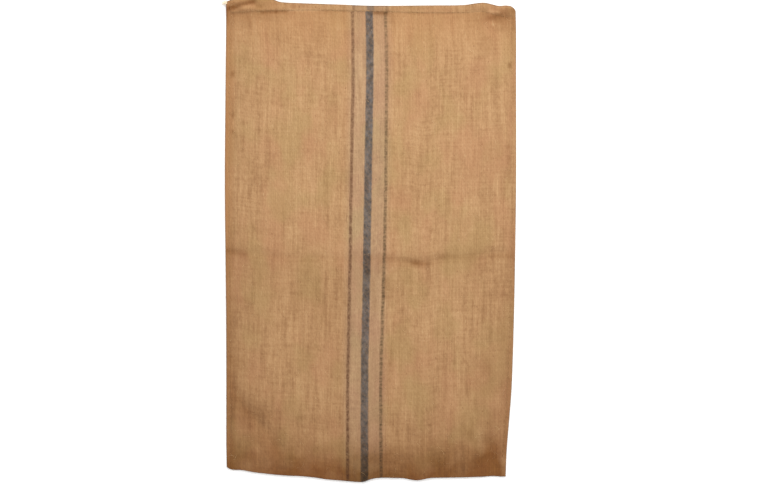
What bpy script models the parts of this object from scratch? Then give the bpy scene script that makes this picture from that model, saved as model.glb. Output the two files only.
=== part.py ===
"""An empty jute grain sack that lies on its back, with its mouth towards +Y.

One length of twill is folded across at the bottom and closed at both side edges, so the sack is one
thin shell: a front and a back layer with a shallow space between them, open at the mouth. The origin
is the middle of the underside, on the surface that the sack lies on. Sizes are in millimetres and
become metres where the mesh is made.
"""

import math
from collections import namedtuple

import bmesh
import bpy

MM = 0.001

# Driving dimensions
CLOTH = 2.0  # thickness of the twill
SEAM_WIDTH = 10.0  # flat strip along each side edge, where the two layers are sewn together
SEAM_THICKNESS = 4.8
FOLD_THICKNESS = 5.6  # over the fold at the bottom
CROWN = 16.0  # height of the front where the sack stands fullest
SIDE_RISE = 125.0  # from the side seam to the full height
FOLD_RISE = 95.0  # from the fold at the bottom to the full height
HEM_EXTRA = 1.8  # the second layer of cloth in the hem
HEM_STEP = 1.5  # width of the step at the hem's cut edge
ROUNDING = 1.3  # how far the rounded edges reach past the layers
EDGE_LIFT = 0.8  # the underside leaves the surface at the outer edge
LEAST_GAP = 0.5  # between the two layers where a crease presses them together

# Outline of the sack. Each side edge is given at a height up the sack, each cross edge at a place across.
Side = namedtuple("Side", "up left right")
SIDES = (
    Side(-562.0, -335.0, 315.0),
    Side(-500.0, -336.0, 317.5),
    Side(-430.0, -336.0, 323.0),
    Side(-350.0, -336.0, 329.0),
    Side(-200.0, -336.5, 334.0),
    Side(-50.0, -338.0, 337.0),
    Side(130.0, -339.5, 339.5),
    Side(400.0, -337.5, 339.5),
    Side(500.0, -336.5, 339.5),
    Side(562.0, -337.0, 338.0),
)

Edge = namedtuple("Edge", "across up")
FOLD_EDGE = (
    Edge(-339.5, -528.0),
    Edge(-328.0, -533.9),
    Edge(-304.0, -535.3),
    Edge(-275.0, -540.1),
    Edge(-228.0, -545.4),
    Edge(-190.0, -548.3),
    Edge(-158.0, -549.6),
    Edge(-120.0, -553.4),
    Edge(-96.0, -556.9),
    Edge(-60.0, -559.8),
    Edge(-26.0, -562.6),
    Edge(-6.0, -562.6),
    Edge(9.0, -557.2),
    Edge(24.0, -554.0),
    Edge(45.0, -553.1),
    Edge(72.0, -553.8),
    Edge(90.0, -554.2),
    Edge(120.0, -559.2),
    Edge(134.0, -558.0),
    Edge(155.0, -553.9),
    Edge(190.0, -553.0),
    Edge(230.0, -552.3),
    Edge(285.0, -550.7),
    Edge(308.0, -549.3),
    Edge(328.0, -550.4),
)
MOUTH_EDGE = (
    Edge(-339.5, 556.0),
    Edge(-326.0, 561.0),
    Edge(-270.0, 562.5),
    Edge(-232.0, 561.0),
    Edge(-212.0, 554.0),
    Edge(-163.0, 551.0),
    Edge(-80.0, 548.0),
    Edge(5.0, 545.0),
    Edge(150.0, 546.0),
    Edge(215.0, 547.0),
    Edge(262.0, 552.5),
    Edge(284.0, 548.5),
    Edge(300.0, 545.5),
    Edge(316.0, 547.0),
    Edge(331.0, 544.0),
    Edge(339.5, 534.0),
)
HEM_FOOT = (  # the cut edge of the hem on the front
    Edge(-339.5, 528.0),
    Edge(-250.0, 532.0),
    Edge(-140.0, 533.5),
    Edge(-58.0, 532.0),
    Edge(47.0, 529.5),
    Edge(140.0, 527.5),
    Edge(225.0, 528.5),
    Edge(262.0, 530.0),
    Edge(300.0, 521.0),
    Edge(339.5, 517.0),
)
MIDDLE_CREASE = (  # where the stored sack was folded in half
    Edge(-339.5, -24.0),
    Edge(-290.0, -30.0),
    Edge(-163.0, -40.0),
    Edge(25.0, -41.0),
    Edge(110.0, -50.0),
    Edge(190.0, -39.0),
    Edge(310.0, -27.0),
    Edge(339.5, -24.0),
)

# Depth of the middle crease across the sack.
Depth = namedtuple("Depth", "across deep")
CREASE_DEPTHS = (
    Depth(-339.5, 1.6),
    Depth(-290.0, 1.8),
    Depth(-150.0, 1.0),
    Depth(0.0, 1.4),
    Depth(60.0, 2.2),
    Depth(125.0, 3.0),
    Depth(180.0, 1.6),
    Depth(240.0, 1.0),
    Depth(290.0, 2.4),
    Depth(339.5, 1.6),
)
CREASE_WIDTH = 9.0

# Other folds and hollows: a line from one end to the other, its half width and how deep it is
# pressed in. A negative depth is a ridge or a lump.
Fold = namedtuple("Fold", "from_across from_up to_across to_up width deep")
FOLDS = (
    Fold(-324.0, -352.0, -212.0, -480.0, 17.0, 4.2),  # slack hollow above the left bottom corner
    Fold(-318.0, -452.0, -282.0, -490.0, 24.0, -1.6),  # swell of that corner
    Fold(272.0, -470.0, 292.0, -545.0, 20.0, 3.0),  # hollow at the right bottom corner
    Fold(236.0, -440.0, 244.0, -520.0, 12.0, -1.2),
    Fold(246.0, -246.0, 322.0, -233.0, 6.0, 1.2),
    Fold(250.0, -305.0, 262.0, -335.0, 30.0, 2.0),
    Fold(-140.0, -118.0, -105.0, -160.0, 30.0, 1.5),
    Fold(225.0, 90.0, 240.0, 30.0, 32.0, 1.2),
    Fold(200.0, 290.0, 222.0, 235.0, 30.0, 1.0),
    Fold(-300.0, 300.0, -280.0, 120.0, 34.0, 1.0),
    Fold(-190.0, 420.0, -150.0, 250.0, 40.0, -0.8),
    Fold(278.0, 523.0, 330.0, 513.0, 12.0, 1.9),  # pocket under the right corner of the hem
    Fold(246.0, 543.0, 276.0, 544.0, 11.0, -2.2),  # lump of the hem beside it
    Fold(276.0, 531.0, 300.0, 530.0, 7.0, -1.8),
    Fold(306.0, 538.0, 322.0, 538.0, 8.0, -2.6),
    Fold(-330.0, 540.0, -272.0, 554.0, 6.0, 3.8),  # creases of the gathered left corner
    Fold(-332.0, 524.0, -292.0, 525.0, 6.0, 2.6),
    Fold(-252.0, 530.0, -190.0, 533.0, 5.0, 2.4),
    Fold(-262.0, 559.0, -328.0, 551.0, 7.0, -3.6),  # ridges between those creases
    Fold(-300.0, 543.0, -276.0, 545.0, 8.0, -4.0),
    Fold(-322.0, 533.0, -262.0, 537.0, 6.0, -2.6),
    Fold(-318.0, 514.0, -290.0, 513.0, 9.0, -2.2),
    Fold(-251.0, 522.0, -205.0, 524.0, 7.0, -2.0),
)

# Slack of the front: long low waves that run across the sack and up it at once.
Wave = namedtuple("Wave", "across_length up_length start height")
WAVES = (
    Wave(640.0, 1500.0, 1.1, 1.0),
    Wave(-410.0, 560.0, 2.4, 0.8),
    Wave(230.0, -370.0, 0.6, 0.5),
)

# Mesh lines. Rows run across the sack, columns run up it.
EDGE_COLUMNS = (0.0, 3.0, SEAM_WIDTH, 20.0, 38.0, 57.0, 76.0)  # from the outline at each side
MIDDLE_COLUMNS = 21
FOLD_ROWS = (0.0, 4.0, 12.0, 25.0, 46.0, 78.0, 115.0)  # up from the fold at the bottom
CREASE_ROWS = (-46.0, -21.0, -9.0, 0.0, 9.0, 21.0, 46.0)  # about the middle crease
FOOT_ROWS = (-66.0, -32.0, -12.0, -3.0, 0.0, HEM_STEP)  # about the cut edge of the hem
LOWER_ROWS = 6  # between the rows of the fold and those of the crease
UPPER_ROWS = 9  # between the rows of the crease and those of the hem
HEM_ROWS = 3  # from the step to the edge of the mouth
INNER_COLUMN = 2  # the space inside starts at this column, the seam line
INNER_ROW = 1  # and at this row, inside the fold


def smooth(share):
    """0 below 0 and 1 above 1, with an easy curve between."""
    share = min(max(share, 0.0), 1.0)
    return share * share * (3.0 - 2.0 * share)


def fullness(share):
    """Rises fast from a pressed edge and then levels out."""
    share = min(max(share, 0.0), 1.0)
    return 1.0 - (1.0 - share) ** 2.2


def curve(rows, key, value, at):
    """The named value at a place along a table, on a curve through its rows."""
    places = [getattr(row, key) for row in rows]
    values = [getattr(row, value) for row in rows]
    at = min(max(at, places[0]), places[-1])
    index = max(i for i in range(len(rows) - 1) if places[i] <= at)
    start, end = places[index], places[index + 1]
    step = end - start
    share = (at - start) / step

    def slope(i):
        low, high = max(i - 1, 0), min(i + 1, len(rows) - 1)
        return (values[high] - values[low]) / (places[high] - places[low])

    square, cube = share * share, share**3
    return (
        values[index] * (2 * cube - 3 * square + 1)
        + values[index + 1] * (3 * square - 2 * cube)
        + slope(index) * step * (cube - 2 * square + share)
        + slope(index + 1) * step * (cube - square)
    )


def crossing(rows, across):
    return curve(rows, "across", "up", across)


def side(up, name):
    return curve(SIDES, "up", name, up)


def distance_to_fold(fold, across, up):
    """Distance from a point to the fold's line."""
    run = (fold.to_across - fold.from_across, fold.to_up - fold.from_up)
    offset = (across - fold.from_across, up - fold.from_up)
    along = (offset[0] * run[0] + offset[1] * run[1]) / (run[0] ** 2 + run[1] ** 2)
    along = min(max(along, 0.0), 1.0)
    return math.hypot(offset[0] - along * run[0], offset[1] - along * run[1])


def dip(distance, width):
    """1 on a fold's line, fading to nothing about twice its half width away."""
    return math.exp(-((distance / width) ** 2))


def slack(across, up):
    """Height of the long waves."""
    return sum(
        wave.height
        * math.sin(2.0 * math.pi * (across / wave.across_length + up / wave.up_length) + wave.start)
        for wave in WAVES
    )


def hem_layer(across, up):
    """Height of the second layer of cloth: nothing below the hem, HEM_EXTRA in it."""
    return HEM_EXTRA * smooth((up - crossing(HEM_FOOT, across)) / HEM_STEP)


def front_height(across, up):
    """Height of the front of the cloth, before the hem adds its second layer."""
    from_side = min(across - side(up, "left"), side(up, "right") - across)
    from_fold = up - crossing(FOLD_EDGE, across)
    full = fullness((from_side - SEAM_WIDTH) / SIDE_RISE) * fullness(from_fold / FOLD_RISE)
    edge = SEAM_THICKNESS + (FOLD_THICKNESS - SEAM_THICKNESS) * smooth(from_side / SIDE_RISE)
    height = edge + (CROWN + slack(across, up) - edge) * full

    crease = up - crossing(MIDDLE_CREASE, across)
    pressed = curve(CREASE_DEPTHS, "across", "deep", across) * dip(crease, CREASE_WIDTH)
    for fold in FOLDS:
        pressed += fold.deep * dip(distance_to_fold(fold, across, up), fold.width)
    height -= pressed * smooth(from_side / (2.0 * SEAM_WIDTH))

    lowest = back_inside(across, up) + LEAST_GAP + CLOTH
    if from_side > SEAM_WIDTH:
        height = max(height, lowest)
    return height


def back_inside(across, up):
    """Height of the inner face of the back, which lies flat on the surface, hem and all."""
    return CLOTH + hem_layer(across, up)


def even(start, end, count):
    """Count places between start and end, without the two ends."""
    return [start + (end - start) * (i + 1) / (count + 1) for i in range(count)]


def column_places(up):
    """Places across the sack at a height up it, from the left edge to the right."""
    left, right = side(up, "left"), side(up, "right")
    from_left = [left + step for step in EDGE_COLUMNS]
    from_right = [right - step for step in reversed(EDGE_COLUMNS)]
    return from_left + even(from_left[-1], from_right[0], MIDDLE_COLUMNS) + from_right


def row_places(across):
    """Places up the sack at a place across it, from the fold to the mouth."""
    fold = [crossing(FOLD_EDGE, across) + step for step in FOLD_ROWS]
    crease = [crossing(MIDDLE_CREASE, across) + step for step in CREASE_ROWS]
    foot = [crossing(HEM_FOOT, across) + step for step in FOOT_ROWS]
    hem = even(foot[-1], crossing(MOUTH_EDGE, across), HEM_ROWS - 1)
    rows = fold + even(fold[-1], crease[0], LOWER_ROWS) + crease
    rows += even(crease[-1], foot[0], UPPER_ROWS) + foot
    return rows + hem + [crossing(MOUTH_EDGE, across)]


def plan():
    """The mesh lines' crossings seen from above, as grid[row][column] = (across, up)."""
    middle = row_places(0.0)
    grid = []
    for row, level in enumerate(middle):
        line = []
        for across in column_places(level):
            up = row_places(across)[row]
            line.append((across, up))
        grid.append(line)
    return grid


def make_sack():
    """The closed shell: outer front, outer back, inner front and inner back, joined at their edges."""
    grid = plan()
    rows, columns = len(grid), len(grid[0])
    last_row, last_column = rows - 1, columns - 1
    mesh = bmesh.new()

    def vertex(across, up, height):
        return mesh.verts.new((across * MM, up * MM, height * MM))

    def inset(row, column):
        """Where the layers end, short of the outline that their rounded edge reaches."""
        across, up = grid[row][column]
        if column == 0:
            across += ROUNDING
        if column == last_column:
            across -= ROUNDING
        if row == 0:
            up += ROUNDING
        return across, up

    front, back, rim, front_in, back_in = {}, {}, {}, {}, {}
    inner_columns = range(INNER_COLUMN, columns - INNER_COLUMN)
    for row in range(rows):
        for column in range(columns):
            place = (row, column)
            across, up = inset(row, column)
            at_edge = column in (0, last_column) or row == 0
            next_to_edge = column in (1, last_column - 1) or row == 1
            lift = EDGE_LIFT if at_edge else EDGE_LIFT / 4 if next_to_edge else 0.0
            top = front_height(across, up) + hem_layer(across, up)
            front[place] = vertex(across, up, top - (EDGE_LIFT if at_edge else 0.0))
            back[place] = vertex(across, up, lift)
            if at_edge:
                rim[place] = vertex(*grid[row][column], (top + lift) / 2)
            if column in inner_columns and row >= INNER_ROW:
                ends = column in (inner_columns[0], inner_columns[-1]) or row == INNER_ROW
                under = top - hem_layer(across, up) - CLOTH
                over = back_inside(across, up)
                front_in[place] = vertex(across, up, top / 2 if ends else under)
                back_in[place] = front_in[place] if ends else vertex(across, up, over)

    def face(*corners):
        unlike = list(dict.fromkeys(corners))
        mesh.faces.new(unlike)

    def layer(points, row_range, column_range, facing_up):
        for row in row_range:
            for column in column_range:
                ring = [
                    points[row, column],
                    points[row, column + 1],
                    points[row + 1, column + 1],
                    points[row + 1, column],
                ]
                face(*(ring if facing_up else reversed(ring)))

    layer(front, range(last_row), range(last_column), True)
    layer(back, range(last_row), range(last_column), False)
    inside_rows = range(INNER_ROW, last_row)
    layer(front_in, inside_rows, inner_columns[:-1], False)
    layer(back_in, inside_rows, inner_columns[:-1], True)

    for row in range(last_row):
        for column, turned in ((0, False), (last_column, True)):
            for upper, lower in ((front, rim), (rim, back)):
                ring = [
                    upper[row, column],
                    upper[row + 1, column],
                    lower[row + 1, column],
                    lower[row, column],
                ]
                face(*(reversed(ring) if turned else ring))
    for column in range(last_column):
        for upper, lower in ((front, rim), (rim, back)):
            face(upper[0, column + 1], upper[0, column], lower[0, column], lower[0, column + 1])

    mouth_front = [front[last_row, column] for column in range(columns)]
    mouth_back = [back[last_row, column] for column in range(columns)]
    inner_front = [front_in[last_row, column] for column in inner_columns]
    inner_back = [back_in[last_row, column] for column in inner_columns]
    for place, column in enumerate(inner_columns[:-1]):
        face(mouth_front[column], mouth_front[column + 1], inner_front[place + 1], inner_front[place])
        face(inner_back[place], inner_back[place + 1], mouth_back[column + 1], mouth_back[column])
    near, far = INNER_COLUMN, last_column - INNER_COLUMN
    face(
        *mouth_front[: near + 1],
        inner_front[0],
        *reversed(mouth_back[: near + 1]),
        rim[last_row, 0],
    )
    face(
        *mouth_front[far:],
        rim[last_row, last_column],
        *reversed(mouth_back[far:]),
        inner_front[-1],
    )

    bmesh.ops.recalc_face_normals(mesh, faces=mesh.faces)
    bmesh.ops.triangulate(mesh, faces=mesh.faces)
    data = bpy.data.meshes.new("sack_body")
    mesh.to_mesh(data)
    mesh.free()
    data.shade_smooth()
    data.set_sharp_from_angle(angle=0.7)
    sack = bpy.data.objects.new("sack_body", data)
    bpy.context.collection.objects.link(sack)
    return sack


def make_jute():
    """Plain jute twill: warm tan, dull and rough."""
    jute = bpy.data.materials.new("jute_twill")
    jute.use_nodes = True
    shader = jute.node_tree.nodes["Principled BSDF"]
    shader.inputs["Base Color"].default_value = (0.50, 0.30, 0.14, 1.0)
    shader.inputs["Roughness"].default_value = 0.92
    shader.inputs["Metallic"].default_value = 0.0
    return jute


def main():
    for item in list(bpy.data.objects):
        bpy.data.objects.remove(item, do_unlink=True)
    sack = make_sack()
    sack.data.materials.append(make_jute())


main()
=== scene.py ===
"""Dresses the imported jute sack: its twill cloth, its sewing and its stray fibres, on a plain stage.

The sack lies on its back with its mouth towards +Y. Shapes are worked out in millimetres and become
metres where a mesh is made.
"""

import math
from collections import namedtuple

import bpy
import numpy as np
from bpy.props import FloatProperty, FloatVectorProperty, IntProperty, PointerProperty, StringProperty
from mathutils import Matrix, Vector


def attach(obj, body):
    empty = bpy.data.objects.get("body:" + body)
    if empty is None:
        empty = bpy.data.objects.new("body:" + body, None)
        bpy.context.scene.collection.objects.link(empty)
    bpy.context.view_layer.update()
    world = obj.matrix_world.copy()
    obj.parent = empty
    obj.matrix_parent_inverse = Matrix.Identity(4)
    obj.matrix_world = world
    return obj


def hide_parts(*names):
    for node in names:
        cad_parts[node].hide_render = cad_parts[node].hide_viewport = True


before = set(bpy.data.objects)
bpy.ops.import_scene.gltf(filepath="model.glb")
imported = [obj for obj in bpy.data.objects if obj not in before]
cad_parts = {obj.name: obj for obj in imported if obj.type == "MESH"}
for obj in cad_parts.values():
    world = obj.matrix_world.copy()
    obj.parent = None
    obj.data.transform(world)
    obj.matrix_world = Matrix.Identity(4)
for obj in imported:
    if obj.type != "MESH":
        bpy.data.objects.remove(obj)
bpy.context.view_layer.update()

bl_info = {
    "name": "Jute Sack",
    "version": (1, 0, 0),
    "blender": (4, 5, 0),
    "location": "3D View > Sidebar > Sack",
    "description": "Builds an empty jute grain sack with its weave, stripes and sewing",
    "category": "Add Mesh",
}

MM = 0.001
NODE = "sack_body"  # the solid that the cloth stands for
BODY = "root"


def table(kind, *rows):
    """Rows of one kind, from their plain values."""
    return tuple(kind(*row) for row in rows)


# Outline of the sack, as the solid has it, in millimetres.
Side = namedtuple("Side", "up left right")
SIDES = table(
    Side,
    (-562, -335, 315), (-500, -336, 317.5), (-430, -336, 323),
    (-350, -336, 329), (-200, -336.5, 334), (-50, -338, 337),
    (130, -339.5, 339.5), (400, -337.5, 339.5), (500, -336.5, 339.5),
    (562, -337, 338),
)

Edge = namedtuple("Edge", "across up")
FOLD_EDGE = table(
    Edge,
    (-339.5, -528), (-328, -533.9), (-304, -535.3), (-275, -540.1), (-228, -545.4),
    (-190, -548.3), (-158, -549.6), (-120, -553.4), (-96, -556.9), (-60, -559.8),
    (-26, -562.6), (-6, -562.6), (9, -557.2), (24, -554), (45, -553.1),
    (72, -553.8), (90, -554.2), (120, -559.2), (134, -558), (155, -553.9),
    (190, -553), (230, -552.3), (285, -550.7), (308, -549.3), (328, -550.4),
)
MOUTH_EDGE = table(
    Edge,
    (-339.5, 556), (-326, 561), (-270, 562.5), (-232, 561), (-212, 554),
    (-163, 551), (-80, 548), (5, 545), (150, 546), (215, 547),
    (262, 552.5), (284, 548.5), (300, 545.5), (316, 547), (331, 544),
    (339.5, 534),
)
HEM_FOOT = table(
    Edge,
    (-339.5, 528), (-250, 532), (-140, 533.5), (-58, 532), (47, 529.5),
    (140, 527.5), (225, 528.5), (262, 530), (300, 521), (339.5, 517),
)
MIDDLE_CREASE = table(
    Edge,
    (-339.5, -24), (-290, -30), (-163, -40), (25, -41), (110, -50),
    (190, -39), (310, -27), (339.5, -24),
)

Depth = namedtuple("Depth", "across deep")
CREASE_DEPTHS = table(
    Depth,
    (-339.5, 1.6), (-290, 1.8), (-150, 1), (0, 1.4), (60, 2.2), (125, 3),
    (180, 1.6), (240, 1), (290, 2.4), (339.5, 1.6),
)
CREASE_WIDTH = 9.0

# Folds and hollows: from one end to the other, the half width, and how deep the cloth is pressed in.
Fold = namedtuple("Fold", "from_across from_up to_across to_up width deep")
FOLDS = table(
    Fold,
    (-324, -352, -212, -480, 17, 4.2),
    (-318, -452, -282, -490, 24, -1.6),
    (272, -470, 292, -545, 20, 3),
    (236, -440, 244, -520, 12, -1.2),
    (246, -246, 322, -233, 6, 1.2),
    (250, -305, 262, -335, 30, 2),
    (-140, -118, -105, -160, 30, 1.5),
    (225, 90, 240, 30, 32, 1.2),
    (200, 290, 222, 235, 30, 1),
    (-300, 300, -280, 120, 34, 1),
    (-190, 420, -150, 250, 40, -0.8),
    (278, 523, 330, 513, 14, 0.4),
    (246, 543, 276, 544, 11, -2.2),
    (276, 531, 300, 530, 7, -1.8),
    (306, 538, 322, 538, 8, -1.7),
    (-330, 540, -272, 554, 6, 3.8),
    (-332, 524, -292, 525, 9, 1.2),
    (-252, 528, -190, 530, 6, 2),
    (-262, 559, -328, 551, 7, -3.6),
    (-300, 543, -276, 545, 8, -4),
    (-322, 533, -262, 537, 6, -2.6),
    (-318, 514, -290, 513, 9, -2.2),
    (-251, 522, -205, 524, 7, -2),
)

# Fine creases that only the cloth has, beside the folds above.
CREASES = table(
    Fold,
    (60, -50, 130, -56, 4, 0.9),
    (96, -55, 118, -66, 7, 1.2),
    (262, -60, 330, -52, 5, -0.7),
    (-330, -36, -220, -50, 6, -0.6),
    (-300, -384, -236, -440, 7, 0.9),
    (-330, -410, -300, -470, 8, -0.8),
    (238, -470, 246, -530, 6, 0.8),
    (254, -455, 262, -500, 5, -0.9),
    (-232, -490, -222, -536, 7, 0.8),
    (-95, -500, -98, -548, 9, 0.7),
    (150, -505, 158, -545, 10, 0.7),
    (-310, 512, -296, 470, 8, 0.9),
    (-270, 520, -262, 486, 7, -0.7),
    (300, 500, 310, 452, 8, 0.8),
    (276, 504, 312, 499, 7, -0.8),
    (-262, 543, -250, 543, 5, 1.6),
    (-314, 549, -296, 553, 4, -1.2),
    (284, 505, 304, 499, 8, -1.2),
)

# Slack of the front: long low waves that run across the sack and up it at once.
Wave = namedtuple("Wave", "across_length up_length start height")
WAVES = table(
    Wave,
    (640, 1500, 1.1, 1),
    (-410, 560, 2.4, 0.8),
    (230, -370, 0.6, 0.5),
)

# Where the middle stripe, and so the cloth's lengthwise yarn, runs across the sack.
GRAIN = table(
    Edge,
    (-14.5, -562), (-14, -300), (-11, -160), (-8.5, -20), (-4, 260),
    (-1.5, 400), (-4, 562),
)

# How far the cloth is darkened, by distance above a line near the fold at the bottom: mostly painted shade
# where the front rounds down to the fold, with some grime, and a little darker again near the mouth.
DARKENING_FOOT = -550.0
SoilAndShade = namedtuple("SoilAndShade", "above dark")
SOIL_AND_SHADE = table(
    SoilAndShade,
    (0, 1), (24, 0.88), (45, 0.75), (65, 0.57), (90, 0.38), (135, 0.28), (180, 0.19),
    (300, 0.15), (500, 0.15), (545, 0.05), (700, 0.02), (1040, 0.02), (1070, 0.09), (1124, 0.10),
)

# Marks of painted shade in folds, creases and hollows, and of painted highlight on ridges where the shade
# is below zero. Some are stains, and some only even out the noise of the cloth's colour. From one end to
# the other.
ShadeAndStainMark = namedtuple("ShadeAndStainMark", "from_across from_up to_across to_up width shade")
SHADE_AND_STAIN_MARKS = table(
    ShadeAndStainMark,
    (-271, 554, -332, 540, 6, 0.62),
    (-322, 520, -286, 521, 9, 0.16),
    (-261, 543, -252, 543, 4, 0.30),
    (-251, 529.5, -220, 530.5, 4.5, 0.38),
    (-219, 530, -198, 531, 4, 0.28),
    (-268, 521, -190, 524, 9, 0.16),
    (-301, 544, -282, 543, 7, -0.35),
    (-287, 522, -280, 500, 6, 0.18),
    (-334, 532, -332, 505, 3, 0.30),
    (275, 518, 288, 519, 5.5, 0.20),
    (302, 524, 314, 523, 11, 0.20),
    (272, 518, 328, 517, 8.5, 0.12),
    (276, 533, 292, 532, 4, -0.25),
    (278, 531, 300, 530, 3, -0.30),
    (282, 503, 300, 499, 5.5, -0.24),
    (331, 530, 333, 490, 3, 0.12),
    (-335, -24, -290, -30, 7, 0.22),
    (35, -42, 110, -50, 8, 0.20),
    (102, -54, 130, -56, 7, 0.38),
    (165, -36, 235, -38, 8, 0.18),
    (284, -37, 330, -36, 7, 0.24),
    (-324, -352, -212, -480, 44, 0.24),
    (277, -470, 292, -545, 23, 0.28),
    (250, -440, 260, -490, 8, -0.22),
    (250, -305, 262, -335, 34, 0.10),
    (-140, -118, -105, -160, 34, 0.10),
    (70, -150, 270, -190, 80, -0.08),
    (-321.5, 391, -321, 385, 3.5, 0.50),
    (-321.5, 296, -321, 290, 3.5, 0.45),
    (-321.5, 256, -321, 252, 3.5, 0.35),
    (324, 410, 324, 404, 4, 0.55),
    (321.5, 221, 321.5, 216, 3.5, 0.40),
    (324, 200, 324, 140, 2.5, 0.32),
    (-286, 112, -282, 104, 3.5, 0.30),
    (139, 26, 143, 22, 4, 0.35),
    (-14, 155, -10, 152, 4, 0.30),
    (-322, -520, -250, -532, 24, -0.20),
    (266, 512, 330, 500, 18, 0.20),
    (8, 528, 36, 526.5, 4, 0.50),
    (12, 537, 40, 531, 8, 0.20),
    (-186, 534.5, -122, 534.5, 3.5, -0.50),
    (226, 530.5, 256, 531.5, 3.5, -0.30),
    (309, -515, 313, -550, 14, -0.46),
    (-25, -544, -6, -543, 2.5, 0.60),
    (-331, -350, -331, -530, 7, -0.16),
    (-326, -276, -298, -292, 14, 0.20),
    (-306, -372, -288, -398, 12, 0.14),
    (-200, -474, -196, -520, 16, -0.22),
    (-256, -494, -240, -512, 14, -0.14),
    (-5, -40, -7, -78, 8, 0.42),
    (36, -92, 33, -135, 6, 0.36),
    (-24, 372, -24, 334, 5, 0.28),
    (270, 468, 276, 442, 13, 0.16),
    (-130, 378, -128, 352, 12, 0.13),
    (204, 336, 206, 310, 12, 0.14),
    (20, -38, 21, -74, 8, 0.17),
    (6, -98, 13, -156, 9, 0.20),
    (-57, -128, -57, -150, 7, 0.20),
    (109, 4, 115, -36, 13, 0.16),
    (264, 92, 267, 66, 13, 0.14),
    (142, 86, 142, 60, 12, -0.18),
    (-69, 268, -68, 244, 12, 0.13),
    (270, -270, 272, -296, 13, 0.15),
    (-260, -184, -258, -208, 13, 0.15),
    (-300, -236, -298, -276, 13, 0.12),
    (226, -436, 228, -454, 9, 0.16),
    (126, -462, 190, -474, 14, 0.12),
    (-304, 32, -238, 26, 13, 0.12),
    (-30, 470, -30, 446, 9, 0.14),
    (30, 518, 48, 518, 8, 0.14),
    (298, 529, 334, 537, 9, 0.30),
    (298, 513, 302, 492, 7, 0.16),
    (-318, 536, -296, 534, 10, 0.12),
    (51, -108, 48, -136, 9, 0.18),
    (154, -110, 154, -132, 12, 0.15),
    (86, -388, 86, -414, 12, -0.20),
    (-184, 384, -184, 360, 12, -0.22),
    (248, 266, 247, 240, 12, -0.20),
    (270, -82, 272, -104, 12, -0.18),
    (300, -176, 310, -246, 13, 0.13),
    (-168, -130, -168, -158, 13, 0.13),
)

# Darkening along the sides, in bands that fade inwards: painted shade where the cloth rounds over at the
# seams, with some grime. Some are fainter higher up, where only a share of them is left, and one spares the
# sack's lower corner.
Band = namedtuple("Band", "side width dark fainter_above clean_corner")
SIDE_SOIL_AND_SHADE = table(
    Band,
    ("left", 22, 0.32, True, False),
    ("left", 95, 0.10, False, False),
    ("right", 16, 0.22, True, True),
    ("right", 90, 0.10, True, False),
)
FAINTER_ABOVE, FAINTER_EASE, FAINTER_SHARE = 100.0, 350.0, 0.45  # the ease is how far it takes
CORNER_TOP, CORNER_EASE = -520.0, 60.0

# Painted shade along a line across the sack, a shadow just under the hem's cut edge and shade in the middle
# crease: how far above the line, the half width, and how dark.
ShadeTrace = namedtuple("ShadeTrace", "above width dark")
HEM_FOOT_SHADOW, CREASE_SHADE = ShadeTrace(-2.0, 3.0, 0.08), ShadeTrace(0.0, 13.0, 0.09)

# Sections of the shell, in millimetres. The hem's step is less sharp than the solid's.
SEAM_WIDTH = 10.0
SEAM_THICKNESS = 4.8
FOLD_THICKNESS = 5.6
SIDE_RISE = 125.0  # from a side seam to where the front is full
FOLD_RISE = 95.0  # from the fold to there
STEP_START = -1.7  # where the hem's step begins, from its foot
HEM_STEP = 4.4  # how wide the step is
GATHERED_STEP = 6.0  # how much wider it is where the hem is gathered
GATHER_LEFT, GATHER_RIGHT = 258.0, 226.0  # from the middle to where it is gathered
GATHER_EASE = 24.0
ROUNDING = 1.3  # the cloth's rounded edge bulges out by this
EDGE_LIFT = 0.8  # its upper side drops at an edge, and its lower side rises, by this
EDGE_ROUND = 2.0  # the width over which the upper side drops
LEAST_GAP = 0.5  # between the front and the back inside
LEVELLING = 2.2  # how fast the front levels out from its edges

# Short low waves of the crumpled cloth: how many, how long, and how high for their length.
CRUMPLES, CRUMPLE_SEED = 34, 5
CRUMPLE_LENGTHS, CRUMPLE_SLOPE = (22.0, 90.0), 0.0011
LEAST_SHARE = 0.05  # keeps a wave along one axis from dividing by nothing

# How the hem's cut edge wanders: how far, and the length and start of each wave.
Wander = namedtuple("Wander", "far length start")
RAGGED_HEM = table(Wander, (0.35, 3.1, 0.0), (0.3, 7.7, 1.0))

# Grooves that the twine pulls into the cloth: how deep, and the half width.
Groove = namedtuple("Groove", "deep width")
SEAM_GROOVE, HEM_GROOVE = Groove(0.55, 2.0), Groove(0.2, 1.8)
PUCKER = 0.25  # the share of a groove's depth that comes and goes with each stitch
SLACK = 0.9  # the share of the hem's groove that is lost where the hem is gathered

# Mesh lines of the cloth, in millimetres from the edge or line that each set follows.
EDGE_COLUMNS = (0.0, 0.9, 2.2, 4.2, 6.4, 8.2, 9.2, SEAM_WIDTH, 10.8, 11.8, 14.0, 18.0, 23.0, 28.0)
FOLD_ROWS = (0.0, 0.9, 2.2, 4.0, 6.5, 10.0, 14.5, 19.5)
FOOT_ROWS = (-9.0, -5.0, -2.6, STEP_START, -0.9, 0.0, 0.9, 1.8, STEP_START + HEM_STEP, 4.2, 6.0)
MOUTH_ROWS = (-5.0, -2.6, -1.0, 0.0)
BAND_ROWS = 4  # between the rows at the hem's foot and those at the mouth
CELL = 5.6  # size of the cells between them
BODY_ROWS = int(1060.0 / CELL) - 2  # between the rows at the fold and those at the hem's foot
ROUND_STEPS = 3  # points round each rounded edge
INNER_COLUMN = EDGE_COLUMNS.index(SEAM_WIDTH)
INNER_ROW = FOLD_ROWS.index(4.0)
INNER_STRIDE = 3  # the inside keeps one row in three where only its shape counts
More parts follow.
